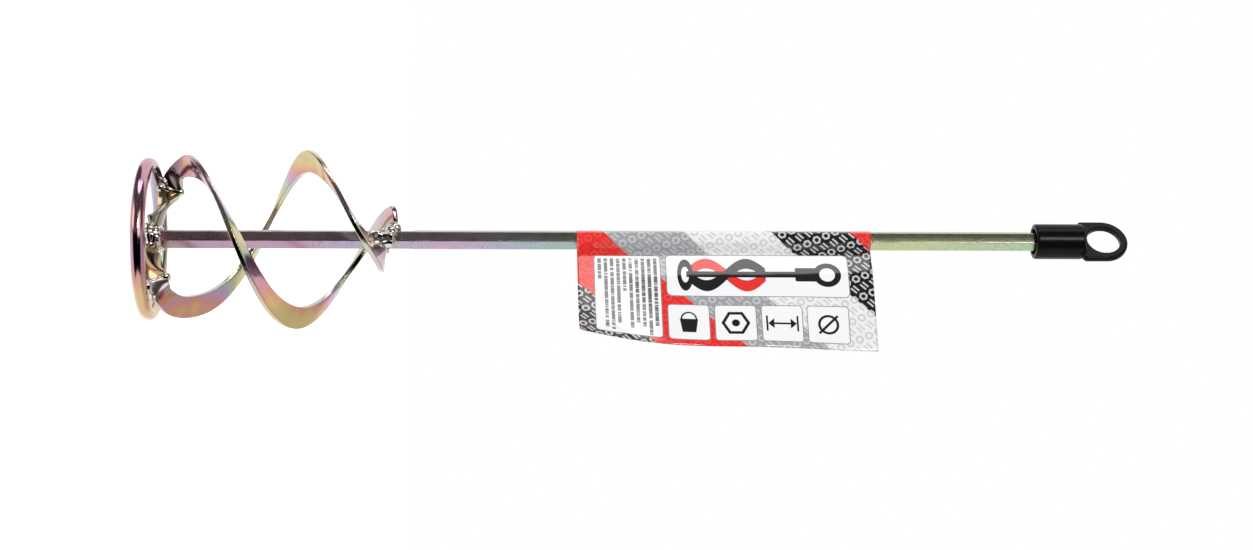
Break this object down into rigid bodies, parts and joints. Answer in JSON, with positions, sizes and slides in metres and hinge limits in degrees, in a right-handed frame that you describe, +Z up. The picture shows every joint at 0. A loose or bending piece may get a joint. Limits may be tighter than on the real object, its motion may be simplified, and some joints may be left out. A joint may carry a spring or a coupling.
{
  "type": "mortar mixing paddle",
  "caption": "Steel stirring paddle with a hexagonal shaft, two opposed helical blades and a round foot ring, all welded, with a push-on hanging cap and a folded film tag.",
  "frame": {"origin": "on the shaft's axis, in the plane that the foot ring stands on", "axes": "+Z up the shaft, from the ring to the shank and its cap; the film tag's flag hangs out towards +X; the helix is right-handed about +Z"},
  "size_m": [0.0842, 0.0745, 0.4204],
  "materials": {
    "zinc": "yellow-passivated zinc plating on steel, glossy with pink, lilac, gold and green tints",
    "weld": "lumpy weld metal under the same glossy zinc plating",
    "cap_plastic": "moulded black polyethylene, slightly glossy",
    "label_film": "printed gloss film in red, grey, black and white"
  },
  "bodies": {
    "paddle": {"hex_shaft": "zinc", "base_ring": "zinc", "blade_a": "zinc", "blade_b": "zinc", "spoke_a": "zinc", "spoke_b": "zinc", "joint_weld_a": "weld", "joint_weld_b": "weld", "ring_weld_a": "weld", "ring_weld_b": "weld", "top_weld_a": "weld", "top_weld_b": "weld", "hub_weld": "weld", "label_tag": "label_film"},
    "cap": {"hanger_cap": "cap_plastic"}
  },
  "joints": [
    {"name": "cap_pull", "type": "slide", "parent": "paddle", "child": "cap", "axis": [0, 0, 1], "range_m": [0, 0.03]}
  ]
}
